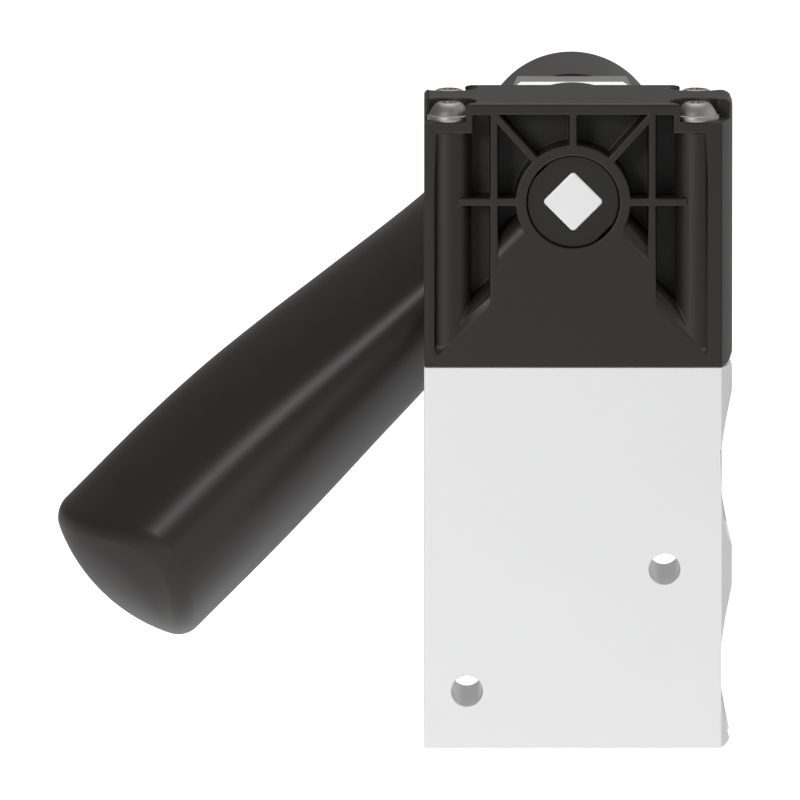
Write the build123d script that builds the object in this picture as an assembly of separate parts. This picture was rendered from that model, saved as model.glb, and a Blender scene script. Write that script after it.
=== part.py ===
from build123d import *
from math import asin, cos, pi, radians, sin, sqrt
import os

# Hand lever air valve, 3/2-way, millimetres, +Z up.
# The origin lies on the flat mounting face (y = 0), under the spool's axis, level with port 2.
# The body and the housing run from y = 0 to y = BODY_DEPTH, and the lever sits behind them.

# Valve body
HALF_WIDTH = 25.6          # spool axis to the flat left side
CROWN = 1.9                # how far the crowned right side bulges past HALF_WIDTH
BODY_DEPTH = 26.0
BODY_BOTTOM = -30.2
BODY_TOP = 35.9
EDGE_ROUND = 0.5
PORT_PITCH = 17.0          # ports 1 and 3 above and below the level of port 2
PORT_RADIUS = 5.72         # core radius of a G1/4 thread
PORT_DEPTH = 12.0
PORT_CHAMFER = 1.0
PASSAGE_RADIUS = 4.0
SPOTFACE_RADIUS = 13.8
MOUNT_HOLE_RADIUS = 2.7
UPPER_MOUNT = (15.8, 0.9)      # x, z of the two mounting holes
LOWER_MOUNT = (-18.2, -20.3)

# Spool and its bore
SPOOL_BORE_RADIUS = 6.0
CHAMBER_RADIUS = 8.0
CHAMBER_HALF = 7.0         # half height of the middle chamber, round port 2
SEAT_WIDTH = 3.0           # bore wall between two chambers
TOP_CHAMBER_END = 22.0
BOTTOM_CHAMBER_END = -21.0
LAND_GAP = 0.08            # radial gap between a land and the bore
ROD_RADIUS = 3.0
ROD_GAP = 0.03
LAND_HEIGHT = 2.6
GUIDE_LAND_HEIGHT = 3.7
GUIDE_LAND_CENTRE = 28.75
END_LAND_HEIGHT = 1.8
SEAL_HEIGHT = 1.0
SEAL_SECTION = 1.4
SEAL_GAP = 0.03
ROD_BELOW_SHAFT = 14.7     # shaft axis to the rod's shoulder under the fork, lever at rest
ROD_STUD_RADIUS = 2.0
GUIDE_RADIUS = 6.6
GUIDE_HEIGHT = 4.5
WIPER_HEIGHT = 1.2
WIPER_SECTION = 1.3
PLUG_RADIUS = 7.0
PLUG_HEIGHT = 2.8
PLUG_SEAL_HEIGHT = 1.0
PLUG_SEAL_SECTION = 0.9
PRESS_GAP = 0.02           # drawn gap of pieces that are pressed or clamped together

# Actuator housing
HOUSING_TOP = 81.7
TOP_ROUND = 0.8
PLATE_THICKNESS = 2.0
SHAFT_BELOW_TOP = 17.1     # top of the housing to the shaft's axis
RECESS_HALF_WIDTH = 23.5
RECESS_SHIFT = 0.35        # the recess sits this far to the left of the shaft's axis
WALL_TAPER = 0.5           # how much the side walls thicken towards the screw seats
TAPER_BELOW_TOP = 13.2     # where that taper starts
RECESS_DEPTH = 7.0
RING_RADIUS = 9.9          # boss round the shaft
DISC_BORE_RADIUS = 8.0
RIB = 1.3
SIDE_RIB_X = 13.6
CROSS_RIB_REACH = 19.7
RECESS_SILL = 1.05         # wall under the recess
INNER_RAMP_ABOVE = 2.5     # inner core's 45 degree line at x = 0, above the shaft's axis
CORE_SHOULDER = 7.0        # half width of the inner core's flat top
CORE_ROUND = 3.04          # round over the core's sloping front edges
RECESS_CORNER = 1.2
RECESS_TOE = 0.9           # how far the corner round lifts the recess off the ramp's low end
CAVITY_LEFT = -15.2
CAVITY_RIGHT = 14.4
CAVITY_WALL = 1.4          # recess floor to the crank cavity
CAVITY_BELOW_TOP = 8.1

# Housing screws
SCREW_X = 21.3
SCREW_INSET = 3.85         # screw axis to the front or rear face
SEAT_BELOW_TOP = 3.3
SEAT_THICKNESS = 1.9
SCREW_POCKET_RADIUS = 4.7
POCKET_SIDE_REACH = 3.0    # how far past the screw's axis the pocket stays open to the side
COLUMN_RADIUS = 3.8
SCREW_RADIUS = 1.5
SCREW_HOLE_GAP = 0.2
SCREW_LENGTH = 50.0
FLANGE_RADIUS = 3.8
FLANGE_HEIGHT = 0.9
HEAD_RADIUS = 3.5
CROWN_RADIUS = 1.9         # flat top of the head
HEAD_BULGE = 5.0           # radius of the head's side in section
HEAD_HEIGHT = 3.05
HEAD_SOCKET_RADIUS = 1.25
HEAD_SOCKET_DEPTH = 1.2

# Gasket between the body and the housing
GASKET_HALF_X = 18.4
GASKET_HALF_Y = 8.6
GASKET_WIDTH = 1.4
GASKET_HEIGHT = 1.2
GASKET_CORNER = 3.0

# Shaft and bearing discs
SHAFT_SIDE = 7.5
SHAFT_CORNER = 0.7
SHAFT_SOCKET_GAP = 0.03
SHAFT_FRONT = 0.6          # shaft end behind the mounting face
SHAFT_BACK = 48.0
DISC_FRONT = 0.8
DISC_GAP = 0.1
DISC_FLAT = 7.6
DISC_INNER_GAP = 0.3       # bearing disc to crank cheek
DISC_SEAL_HEIGHT = 1.4
DISC_SEAL_SECTION = 1.0
DISC_SEAL_GAP = 0.05

# Crank
CRANK_RADIUS = 8.0
REST_ANGLE = 165.0         # crank pin seen from the front, anticlockwise from +x
SWING = 30.0
CHEEK_GAP = 0.25
CHEEK_THICKNESS = 2.2
CRANK_HUB_RADIUS = 7.3
CRANK_EYE_RADIUS = 3.0
WEB_CUT = 1.5              # the web's flat side, past the shaft's axis
WEB_ANGLE = -22.5
CRANK_PIN_RADIUS = 1.5
BUSH_RADIUS = 2.5
BUSH_GAP = 0.05
EAR_ANGLE = -45.0
EAR_RADIUS = 3.2
DETENT_RADIUS = 10.6
BALL_RADIUS = 2.0
BALL_GAP = 0.05
BALL_HOLE_GAP = 0.06
DIMPLE_DEPTH = 0.4
SPRING_WIRE = 0.25
SPRING_TURNS = 4

# Fork on the spool's rod
FORK_SIDE_GAP = 0.15       # fork to each cheek of the crank
FORK_BACK = -14.2
FORK_MOUTH = -6.0
FORK_SPINE = 3.1
JAW = 2.4
SLOT_GAP = 0.06
FORK_FOOT_GAP = 1.0        # fork's foot to the cavity's walls
FORK_FOOT_HEIGHT = 3.9
FORK_PIN_RADIUS = 0.75

# Lever
HUB_RADIUS = 15.6
HUB_STANDOFF = 2.0         # housing's back to the lever's hub
HUB_LENGTH = 56.0
HUB_ROUND = 1.2
HUB_WEB = 26.0             # solid front part of the hub that holds the shaft
HUB_WALL = 2.7
LEVER_ANGLE = 225.0        # arm seen from the front, anticlockwise from +x
ARM_INSET = 2.0            # hub end to the side of the arm
LEVER_WALL = 3.0
END_DOME_RADIUS = 31.0
LEVER_REACH = 111.0
DOME_OFFSET = -4.7
END_ROUND = 4.0
# Arm sections: distance from the shaft, offset of the centre line, half thickness
ARM_SECTIONS = (
    (10.0, -1.5, 11.6),
    (26.0, -2.6, 11.6),
    (45.0, -3.5, 13.1),
    (58.0, -4.0, 14.3),
    (72.0, -4.4, 15.3),
    (88.0, -4.5, 15.75),
    (116.0, -4.3, 15.6),
)
CHANNEL_WIDTH = 14.0       # opening between the hollow arm and the hub's bore
CHANNEL_HEIGHT = 9.0
WASHER_RADIUS = 9.0
WASHER_GAP = 0.1
LEVER_SCREW_RADIUS = 2.5
LEVER_SCREW_ENGAGE = 10.0
LEVER_SCREW_HEAD_RADIUS = 4.25
LEVER_SCREW_HEAD_HEIGHT = 5.0
LEVER_SCREW_SOCKET = 2.3
LEVER_WASHER_RADIUS = 6.5
LEVER_WASHER_THICKNESS = 1.2
CAP_THICKNESS = 2.4
CAP_LIP = 4.0
CAP_WALL = 1.6

# Position label on top of the hub
LABEL_FRONT = 40.6
LABEL_BACK = 52.2
LABEL_FLAT = 12.4          # flat on the hub, above the shaft's axis
LABEL_TOP = 15.2
LABEL_HALF_WIDTH = 9.5
LABEL_SPLAY = 0.7
PLATE_DEPTH = 3.8
PLATE_INSET = 0.6
PLATE_HEIGHT = 0.8

# Values worked out from the sizes above
SHAFT_HEIGHT = HOUSING_TOP - SHAFT_BELOW_TOP
ROD_TOP = SHAFT_HEIGHT - ROD_BELOW_SHAFT
SCREW_SEAT = HOUSING_TOP - SEAT_BELOW_TOP
CAVITY_TOP = HOUSING_TOP - CAVITY_BELOW_TOP
RECESS_BOTTOM = BODY_TOP + RECESS_SILL + RECESS_TOE
OUTER_RAMP = BODY_TOP + RECESS_SILL + RECESS_HALF_WIDTH
INNER_RAMP = SHAFT_HEIGHT + INNER_RAMP_ABOVE
MID_Y = BODY_DEPTH / 2
CAVITY_FRONT = RECESS_DEPTH + CAVITY_WALL
CAVITY_BACK = BODY_DEPTH - CAVITY_FRONT
CHEEK_FRONT = CAVITY_FRONT + CHEEK_GAP
CHEEK_BACK = CAVITY_BACK - CHEEK_GAP
WEB_FRONT = CHEEK_FRONT + CHEEK_THICKNESS
WEB_BACK = CHEEK_BACK - CHEEK_THICKNESS
FORK_THICKNESS = WEB_BACK - WEB_FRONT - 2 * FORK_SIDE_GAP
FORK_FOOT_RADIUS = MID_Y - CAVITY_FRONT - FORK_FOOT_GAP
SCREW_SPOTS = [(x, y) for x in (-SCREW_X, SCREW_X) for y in (SCREW_INSET, BODY_DEPTH - SCREW_INSET)]
TOP_CHAMBER_START = CHAMBER_HALF + SEAT_WIDTH
BOTTOM_CHAMBER_START = -TOP_CHAMBER_START
SEAT_CENTRE = CHAMBER_HALF + SEAT_WIDTH / 2
PIN_DROP_HALF = CRANK_RADIUS * sin(radians(SWING / 2))
STROKE = 2 * PIN_DROP_HALF
PLUG_FACE = BODY_BOTTOM + PLUG_HEIGHT
END_LAND_CENTRE = PLUG_FACE + STROKE + 0.3 + END_LAND_HEIGHT / 2
LAND_RADIUS = SPOOL_BORE_RADIUS - LAND_GAP
HUB_FRONT = BODY_DEPTH + HUB_STANDOFF
HUB_BACK = HUB_FRONT + HUB_LENGTH
HUB_MID = HUB_FRONT + HUB_LENGTH / 2
LEVER_HALF_DEPTH = HUB_LENGTH / 2 - ARM_INSET
HUB_WEB_BACK = HUB_FRONT + HUB_WEB
HUB_BORE_RADIUS = HUB_RADIUS - HUB_WALL
DOME_CENTRE = LEVER_REACH - END_DOME_RADIUS
CLEAR = 5.0                # how far a cutting tool runs past a face


def block(x_low, x_high, y_low, y_high, z_low, z_high):
    """Box between two opposite corners."""
    size = Box(x_high - x_low, y_high - y_low, z_high - z_low)
    return Pos((x_low + x_high) / 2, (y_low + y_high) / 2, (z_low + z_high) / 2) * size


def rod_x(radius, x_low, x_high, y, z):
    """Cylinder along X."""
    bar = Cylinder(radius, x_high - x_low, align=(Align.CENTER, Align.CENTER, Align.MIN))
    return Pos(x_low, y, z) * Rot(0, 90, 0) * bar


def rod_y(radius, y_low, y_high, x=0.0, z=SHAFT_HEIGHT):
    """Cylinder along Y, on the shaft's axis unless told otherwise."""
    bar = Cylinder(radius, y_high - y_low, align=(Align.CENTER, Align.CENTER, Align.MIN))
    return Pos(x, y_low, z) * Rot(-90, 0, 0) * bar


def rod_z(radius, z_low, z_high, x=0.0, y=MID_Y):
    """Cylinder along Z, on the spool's axis unless told otherwise."""
    bar = Cylinder(radius, z_high - z_low, align=(Align.CENTER, Align.CENTER, Align.MIN))
    return Pos(x, y, z_low) * bar


def slab(face, y_low, y_high):
    """Extrude a face that was drawn in x and z from y_low to y_high."""
    return extrude(Plane.XZ.offset(-y_low) * face, amount=y_high - y_low, dir=(0, 1, 0))


def on_axis(face):
    """Move a face drawn about (0, 0) to the shaft's axis."""
    return Pos(0, SHAFT_HEIGHT) * face


def polar(radius, angle):
    """Point in x and z at an angle round the shaft, seen from the front."""
    return (radius * cos(radians(angle)), SHAFT_HEIGHT + radius * sin(radians(angle)))


def crowned_block(z_low, z_high):
    """Block with a flat left side and a crowned right side that fades out at both ends."""
    front_right = (HALF_WIDTH, 0)
    back_right = (HALF_WIDTH, BODY_DEPTH)
    outline = (
        Line((-HALF_WIDTH, 0), front_right)
        + ThreePointArc(front_right, (HALF_WIDTH + CROWN, MID_Y), back_right)
        + Line(back_right, (-HALF_WIDTH, BODY_DEPTH))
        + Line((-HALF_WIDTH, BODY_DEPTH), (-HALF_WIDTH, 0))
    )
    plan = Plane.XY.offset(z_low) * make_face(outline)
    crown_edge = HALF_WIDTH + CROWN
    front = (
        Line((-HALF_WIDTH, z_low), (HALF_WIDTH, z_low))
        + RadiusArc((HALF_WIDTH, z_low), (crown_edge, z_low + CROWN), -CROWN)
        + Line((crown_edge, z_low + CROWN), (crown_edge, z_high - CROWN))
        + RadiusArc((crown_edge, z_high - CROWN), (HALF_WIDTH, z_high), -CROWN)
        + Line((HALF_WIDTH, z_high), (-HALF_WIDTH, z_high))
        + Line((-HALF_WIDTH, z_high), (-HALF_WIDTH, z_low))
    )
    body = extrude(plan, z_high - z_low) & slab(make_face(front), 0, BODY_DEPTH)
    left_edges = body.edges().filter_by(Axis.Z).group_by(Axis.X)[0]
    return fillet(left_edges, EDGE_ROUND)


def port(side, z):
    """Threaded port with its chamfer and the passage to the spool bore, as a cutting tool."""
    mouth = side * (HALF_WIDTH + CLEAR)
    end = side * (HALF_WIDTH - PORT_DEPTH)
    inner = side * SPOOL_BORE_RADIUS / 2
    thread = rod_x(PORT_RADIUS, min(mouth, end), max(mouth, end), MID_Y, z)
    passage = rod_x(PASSAGE_RADIUS, min(end, inner), max(end, inner), MID_Y, z)
    cone = Cone(PORT_RADIUS, PORT_RADIUS + PORT_CHAMFER, PORT_CHAMFER)
    turned = Pos(side * (HALF_WIDTH - PORT_CHAMFER / 2), MID_Y, z) * Rot(0, 90 * side, 0) * cone
    return thread + passage + turned


def gasket_ring(height, z_low):
    """Rounded rectangular ring round the crank cavity."""
    outer = RectangleRounded(2 * GASKET_HALF_X, 2 * GASKET_HALF_Y, GASKET_CORNER)
    inner = RectangleRounded(
        2 * (GASKET_HALF_X - GASKET_WIDTH),
        2 * (GASKET_HALF_Y - GASKET_WIDTH),
        GASKET_CORNER - GASKET_WIDTH,
    )
    return extrude(Pos(0, MID_Y, z_low) * (outer - inner), height)


def valve_body():
    """Milled block with the spool bore, three ports, mounting holes and screw holes."""
    body = crowned_block(BODY_BOTTOM, BODY_TOP)
    cuts = [rod_z(SPOOL_BORE_RADIUS, BODY_BOTTOM - CLEAR, BODY_TOP + CLEAR)]
    cuts.append(rod_z(CHAMBER_RADIUS, TOP_CHAMBER_START, TOP_CHAMBER_END))
    cuts.append(rod_z(CHAMBER_RADIUS, -CHAMBER_HALF, CHAMBER_HALF))
    cuts.append(rod_z(CHAMBER_RADIUS, BOTTOM_CHAMBER_END, BOTTOM_CHAMBER_START))
    cuts.append(rod_z(GUIDE_RADIUS, BODY_TOP - GUIDE_HEIGHT, BODY_TOP + CLEAR))
    cuts.append(rod_z(PLUG_RADIUS, BODY_BOTTOM - CLEAR, PLUG_FACE))
    cuts.append(port(-1, 0))
    for z in (PORT_PITCH, -PORT_PITCH):
        cuts.append(rod_x(SPOTFACE_RADIUS, HALF_WIDTH, HALF_WIDTH + CLEAR, MID_Y, z))
        cuts.append(port(1, z))
    for x, z in (UPPER_MOUNT, LOWER_MOUNT):
        cuts.append(rod_y(MOUNT_HOLE_RADIUS, -CLEAR, BODY_DEPTH + CLEAR, x, z))
    for x, y in SCREW_SPOTS:
        screw_end = SCREW_SEAT - SCREW_LENGTH
        cuts.append(rod_z(SCREW_RADIUS + PRESS_GAP, screw_end - 1, BODY_TOP + CLEAR, x, y))
    cuts.append(gasket_ring(GASKET_HEIGHT + CLEAR, BODY_TOP - GASKET_HEIGHT))
    return body - cuts


def core_wedge(ramp, x_low, x_high):
    """Core under a 45 degree line, its sloping front edge rounded, on both sides."""
    level = ramp + CORE_ROUND * sqrt(2)
    base = BODY_TOP - CLEAR
    outline = Polygon(
        (x_low, base), (x_high, base), (x_high, level - x_high), (x_low, level - x_low), align=None
    )
    wedge = slab(outline, 0, RECESS_DEPTH)
    slope = wedge.edges().group_by(Axis.Y)[0].sort_by(Axis.Z)[-1]
    wedge = fillet(slope, CORE_ROUND)
    return wedge + mirror(wedge, Plane.YZ)


def recess_tool():
    """The ribbed recess of the front face, as a cutting tool."""
    seat_under = SCREW_SEAT - SEAT_THICKNESS
    seat_edge = SCREW_X - SCREW_POCKET_RADIUS + RIB / 2
    plate_under = HOUSING_TOP - PLATE_THICKNESS
    taper_start = HOUSING_TOP - TAPER_BELOW_TOP
    left = -RECESS_HALF_WIDTH - RECESS_SHIFT
    right = RECESS_HALF_WIDTH - RECESS_SHIFT
    outline = Polygon(
        (-seat_edge, plate_under), (seat_edge, plate_under), (seat_edge, seat_under),
        (right - WALL_TAPER, seat_under), (right, taper_start), (right, RECESS_BOTTOM),
        (left, RECESS_BOTTOM), (left, taper_start), (left + WALL_TAPER, seat_under),
        (-seat_edge, seat_under),
        align=None,
    )
    low_corners = outline.vertices().sort_by(Axis.Y)[:2]
    tool = slab(fillet(low_corners, RECESS_CORNER), -CLEAR, RECESS_DEPTH)
    keep = [rod_y(RING_RADIUS, -CLEAR, RECESS_DEPTH)]
    side_inner = SIDE_RIB_X - RIB / 2
    side_outer = SIDE_RIB_X + RIB / 2
    keep.append(core_wedge(OUTER_RAMP, SIDE_RIB_X, RECESS_HALF_WIDTH + 1))
    keep.append(core_wedge(INNER_RAMP, CORE_SHOULDER, SIDE_RIB_X))
    flat_core = INNER_RAMP - CORE_SHOULDER
    keep.append(block(-CORE_SHOULDER, CORE_SHOULDER, 0, RECESS_DEPTH, BODY_TOP, flat_core))
    for side in (-1, 1):
        inner, outer = sorted((side * side_inner, side * side_outer))
        keep.append(block(inner, outer, 0, RECESS_DEPTH, BODY_TOP, HOUSING_TOP))
        keep.append(diagonal_rib(side))
        keep.append(rod_z(COLUMN_RADIUS, BODY_TOP, SCREW_SEAT, side * SCREW_X, SCREW_INSET))
    half = RIB / 2
    keep.append(block(-half, half, 0, RECESS_DEPTH, SHAFT_HEIGHT, HOUSING_TOP))
    reach = CROSS_RIB_REACH
    keep.append(block(-reach, reach, 0, RECESS_DEPTH, SHAFT_HEIGHT - half, SHAFT_HEIGHT + half))
    return tool - keep


def diagonal_rib(side):
    """Rib from the ring boss to the corner between the side rib and the top plate."""
    corner_x = SIDE_RIB_X
    corner_z = HOUSING_TOP - PLATE_THICKNESS - SHAFT_HEIGHT
    start = (side * RING_RADIUS / 2, SHAFT_HEIGHT + RING_RADIUS / 2 * corner_z / corner_x)
    end = (side * corner_x, SHAFT_HEIGHT + corner_z)
    length = sqrt((end[0] - start[0]) ** 2 + (end[1] - start[1]) ** 2)
    rise = asin((end[1] - start[1]) / length) * 180 / pi
    bar = Rectangle(length, RIB, align=(Align.MIN, Align.CENTER))
    turn = rise if side > 0 else 180 - rise
    return slab(Pos(*start) * Rot(0, 0, turn) * bar, 0, RECESS_DEPTH)


def screw_pocket(x, y):
    """Corner pocket down to the screw's seat, open to the side and to the front or rear."""
    side = 1 if x > 0 else -1
    outside = side * (HALF_WIDTH + CLEAR)
    face = y - SCREW_INSET if y < MID_Y else y + SCREW_INSET
    open_y = face - CLEAR if y < MID_Y else face + CLEAR
    far_y = y + POCKET_SIDE_REACH if y < MID_Y else y - POCKET_SIDE_REACH
    corner = block(
        min(x, outside), max(x, outside), min(open_y, far_y), max(open_y, far_y),
        SCREW_SEAT, HOUSING_TOP + CLEAR,
    )
    return corner + rod_z(SCREW_POCKET_RADIUS, SCREW_SEAT, HOUSING_TOP + CLEAR, x, y)


def detent_spot(angle):
    """x and z of the detent ball at a lever angle."""
    return polar(DETENT_RADIUS, EAR_ANGLE + angle)


def actuator_housing():
    """Moulded housing: ribbed recess on both faces, crank cavity, shaft bores, screw pockets."""
    housing = crowned_block(BODY_TOP, HOUSING_TOP)
    top_left = housing.edges().filter_by(Axis.Y).group_by(Axis.Z)[-1].sort_by(Axis.X)[0]
    housing = fillet(top_left, TOP_ROUND)
    front = recess_tool()
    middle = Plane((0, MID_Y, 0), x_dir=(1, 0, 0), z_dir=(0, 1, 0))
    housing = housing - front - mirror(front, middle)
    cuts = [rod_y(DISC_BORE_RADIUS, -CLEAR, BODY_DEPTH + CLEAR)]
    cuts.append(
        block(CAVITY_LEFT, CAVITY_RIGHT, CAVITY_FRONT, CAVITY_BACK, BODY_TOP - CLEAR, CAVITY_TOP)
    )
    for x, y in SCREW_SPOTS:
        cuts.append(screw_pocket(x, y))
        hole = SCREW_RADIUS + SCREW_HOLE_GAP
        cuts.append(rod_z(hole, BODY_TOP - CLEAR, HOUSING_TOP + CLEAR, x, y))
    for angle in (0, SWING):
        x, z = detent_spot(angle)
        ball_y = CAVITY_BACK + DIMPLE_DEPTH - BALL_RADIUS
        cuts.append(Pos(x, ball_y, z) * Sphere(BALL_RADIUS))
    return housing - cuts


def housing_screw(x, y):
    """Flanged screw with a domed head and a drive socket."""
    dome_top = SCREW_SEAT + HEAD_HEIGHT
    flange_top = SCREW_SEAT + FLANGE_HEIGHT
    profile = make_face(
        Line((0, SCREW_SEAT - SCREW_LENGTH), (SCREW_RADIUS, SCREW_SEAT - SCREW_LENGTH))
        + Line((SCREW_RADIUS, SCREW_SEAT - SCREW_LENGTH), (SCREW_RADIUS, SCREW_SEAT))
        + Line((SCREW_RADIUS, SCREW_SEAT), (FLANGE_RADIUS, SCREW_SEAT))
        + Line((FLANGE_RADIUS, SCREW_SEAT), (FLANGE_RADIUS, flange_top))
        + Line((FLANGE_RADIUS, flange_top), (HEAD_RADIUS, flange_top))
        + RadiusArc((HEAD_RADIUS, flange_top), (CROWN_RADIUS, dome_top), -HEAD_BULGE)
        + Line((CROWN_RADIUS, dome_top), (0, dome_top))
        + Line((0, dome_top), (0, SCREW_SEAT - SCREW_LENGTH))
    )
    screw = revolve(Plane.XZ * profile, Axis.Z)
    socket = extrude(
        Pos(0, 0, dome_top - HEAD_SOCKET_DEPTH) * RegularPolygon(HEAD_SOCKET_RADIUS, 6), CLEAR
    )
    return Pos(x, y, 0) * (screw - socket)


def ring_z(outer, inner, z_low, z_high):
    """Flat ring round the spool's axis."""
    return rod_z(outer, z_low, z_high) - rod_z(inner, z_low - 1, z_high + 1)


def ring_y(outer, inner, y_low, y_high):
    """Flat ring round the shaft's axis."""
    return rod_y(outer, y_low, y_high) - rod_y(inner, y_low - 1, y_high + 1)


def land_centres():
    """Land centres from the bottom up, with their heights, lever at rest."""
    return [
        (END_LAND_CENTRE, END_LAND_HEIGHT),
        (STROKE - SEAT_CENTRE, LAND_HEIGHT),
        (SEAT_CENTRE, LAND_HEIGHT),
        (GUIDE_LAND_CENTRE, GUIDE_LAND_HEIGHT),
    ]


def spool():
    """Spool with four sealed lands and the rod that leaves the body at the top."""
    bottom = END_LAND_CENTRE - END_LAND_HEIGHT / 2
    body = rod_z(ROD_RADIUS, bottom, ROD_TOP)
    stud_top = ROD_TOP + FORK_FOOT_HEIGHT - 0.3
    body = body + rod_z(ROD_STUD_RADIUS, ROD_TOP, stud_top)
    for centre, height in land_centres():
        body = body + rod_z(LAND_RADIUS, centre - height / 2, centre + height / 2)
    for centre, height in land_centres():
        groove_inner = LAND_RADIUS - SEAL_SECTION
        half = SEAL_HEIGHT / 2
        body = body - ring_z(LAND_RADIUS + 1, groove_inner, centre - half, centre + half)
    pin_z = ROD_TOP + FORK_FOOT_HEIGHT / 2
    return body - rod_y(FORK_PIN_RADIUS + PRESS_GAP, 0, BODY_DEPTH, 0, pin_z)


def spool_seals():
    """One lip ring in each land."""
    outer = SPOOL_BORE_RADIUS - SEAL_GAP
    inner = LAND_RADIUS - SEAL_SECTION
    half = SEAL_HEIGHT / 2
    return [ring_z(outer, inner, centre - half, centre + half) for centre, height in land_centres()]


def rod_guide():
    """Bearing bush where the rod leaves the body."""
    low = BODY_TOP - GUIDE_HEIGHT
    guide = ring_z(GUIDE_RADIUS - PRESS_GAP, ROD_RADIUS + ROD_GAP, low, BODY_TOP - PRESS_GAP)
    wiper_low = low + (GUIDE_HEIGHT - WIPER_HEIGHT) / 2
    groove = ROD_RADIUS + ROD_GAP + WIPER_SECTION
    return guide - ring_z(groove, ROD_RADIUS / 2, wiper_low, wiper_low + WIPER_HEIGHT)


def rod_wiper():
    """Ring in the guide that wipes the rod."""
    low = BODY_TOP - GUIDE_HEIGHT + (GUIDE_HEIGHT - WIPER_HEIGHT) / 2
    groove = ROD_RADIUS + ROD_GAP + WIPER_SECTION
    return ring_z(groove, ROD_RADIUS + ROD_GAP, low, low + WIPER_HEIGHT)


def plug_groove():
    """Lower and upper level of the plug's seal groove."""
    low = BODY_BOTTOM + (PLUG_HEIGHT - PLUG_SEAL_HEIGHT) / 2
    return low, low + PLUG_SEAL_HEIGHT


def end_plug():
    """Pressed plug that closes the spool bore."""
    low, high = plug_groove()
    outer = PLUG_RADIUS - PRESS_GAP
    plug = rod_z(outer, BODY_BOTTOM, PLUG_FACE - PRESS_GAP)
    plug = chamfer(plug.edges().group_by(Axis.Z)[0], 0.4)
    return plug - ring_z(PLUG_RADIUS + 1, outer - PLUG_SEAL_SECTION, low, high)


def end_plug_seal():
    """Ring round the plug."""
    low, high = plug_groove()
    outer = PLUG_RADIUS - PRESS_GAP
    return ring_z(outer, outer - PLUG_SEAL_SECTION, low, high)


def square(gap):
    """Shaft section in x and z, standing on one corner while the lever is at rest."""
    side = SHAFT_SIDE + 2 * gap
    return on_axis(Rot(0, 0, 45) * RectangleRounded(side, side, SHAFT_CORNER))


def square_hole(y_low, y_high):
    """Square socket that fits the shaft, as a cutting tool."""
    return slab(square(SHAFT_SOCKET_GAP), y_low, y_high)


def lever_shaft():
    """Square bar with a tapped hole in its far end."""
    shaft = slab(square(0), SHAFT_FRONT, SHAFT_BACK)
    hole_front = SHAFT_BACK - LEVER_SCREW_ENGAGE - 2
    return shaft - rod_y(LEVER_SCREW_RADIUS + PRESS_GAP, hole_front, SHAFT_BACK + CLEAR)


def disc_seal_spot(y_low, y_high):
    """Front and back of the seal groove in a bearing disc."""
    middle = (y_low + y_high) / 2
    return middle - DISC_SEAL_HEIGHT / 2, middle + DISC_SEAL_HEIGHT / 2


def near_span():
    """Front and back of the near bearing disc."""
    return DISC_FRONT, CHEEK_FRONT - DISC_INNER_GAP


def far_span():
    """Front and back of the far bearing disc."""
    return CHEEK_BACK + DISC_INNER_GAP, BODY_DEPTH - DISC_FRONT


def rotor_disc(span):
    """Bearing disc on the square shaft, with two flats across its rim."""
    y_low, y_high = span
    radius = DISC_BORE_RADIUS - DISC_GAP
    rim = on_axis(Circle(radius)) & on_axis(Rot(0, 0, 45) * Rectangle(4 * radius, 2 * DISC_FLAT))
    disc = slab(rim, y_low, y_high)
    groove_low, groove_high = disc_seal_spot(y_low, y_high)
    groove = ring_y(radius + 1, radius - DISC_SEAL_SECTION, groove_low, groove_high)
    return disc - groove - square_hole(y_low - 1, y_high + 1)


def rotor_disc_seals():
    """Dust ring on each bearing disc."""
    radius = DISC_BORE_RADIUS - DISC_GAP
    rings = []
    for span in (near_span(), far_span()):
        low, high = disc_seal_spot(*span)
        rings.append(ring_y(DISC_BORE_RADIUS - DISC_SEAL_GAP, radius - DISC_SEAL_SECTION, low, high))
    return rings


def crank_arm_face():
    """Outline of a crank cheek: hub and pin eye."""
    eye = Pos(*polar(CRANK_RADIUS, REST_ANGLE)) * Circle(CRANK_EYE_RADIUS)
    return make_hull(on_axis(Circle(CRANK_HUB_RADIUS)).edges() + eye.edges())


def ear_face():
    """Outline of the ear that holds the detent ball."""
    eye = Pos(*polar(DETENT_RADIUS, EAR_ANGLE)) * Circle(EAR_RADIUS)
    return make_hull(on_axis(Circle(CRANK_HUB_RADIUS)).edges() + eye.edges())


def drive_crank():
    """Two cheeks joined by an open-sided web, with an ear for the detent."""
    cheek = crank_arm_face()
    crank = slab(cheek, CHEEK_FRONT, WEB_FRONT) + slab(cheek, WEB_BACK, CHEEK_BACK)
    half_plane = Pos(-WEB_CUT, 0) * Rectangle(
        4 * EAR_RADIUS + DETENT_RADIUS, 4 * CRANK_HUB_RADIUS, align=(Align.MIN, Align.CENTER)
    )
    open_side = on_axis(Rot(0, 0, WEB_ANGLE) * half_plane)
    web = (on_axis(Circle(CRANK_HUB_RADIUS)) + ear_face()) & open_side
    crank = crank + slab(web, CHEEK_FRONT, CHEEK_BACK)
    crank = crank - square_hole(0, BODY_DEPTH)
    pin_x, pin_z = polar(CRANK_RADIUS, REST_ANGLE)
    crank = crank - rod_y(CRANK_PIN_RADIUS + PRESS_GAP, 0, BODY_DEPTH, pin_x, pin_z)
    ball_x, ball_z = detent_spot(0)
    hole = BALL_RADIUS + BALL_HOLE_GAP
    return crank - rod_y(hole, CHEEK_FRONT + 1, BODY_DEPTH, ball_x, ball_z)


def crank_pin():
    """Pin through both cheeks."""
    x, z = polar(CRANK_RADIUS, REST_ANGLE)
    return rod_y(CRANK_PIN_RADIUS, CHEEK_FRONT, CHEEK_BACK, x, z)


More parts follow.
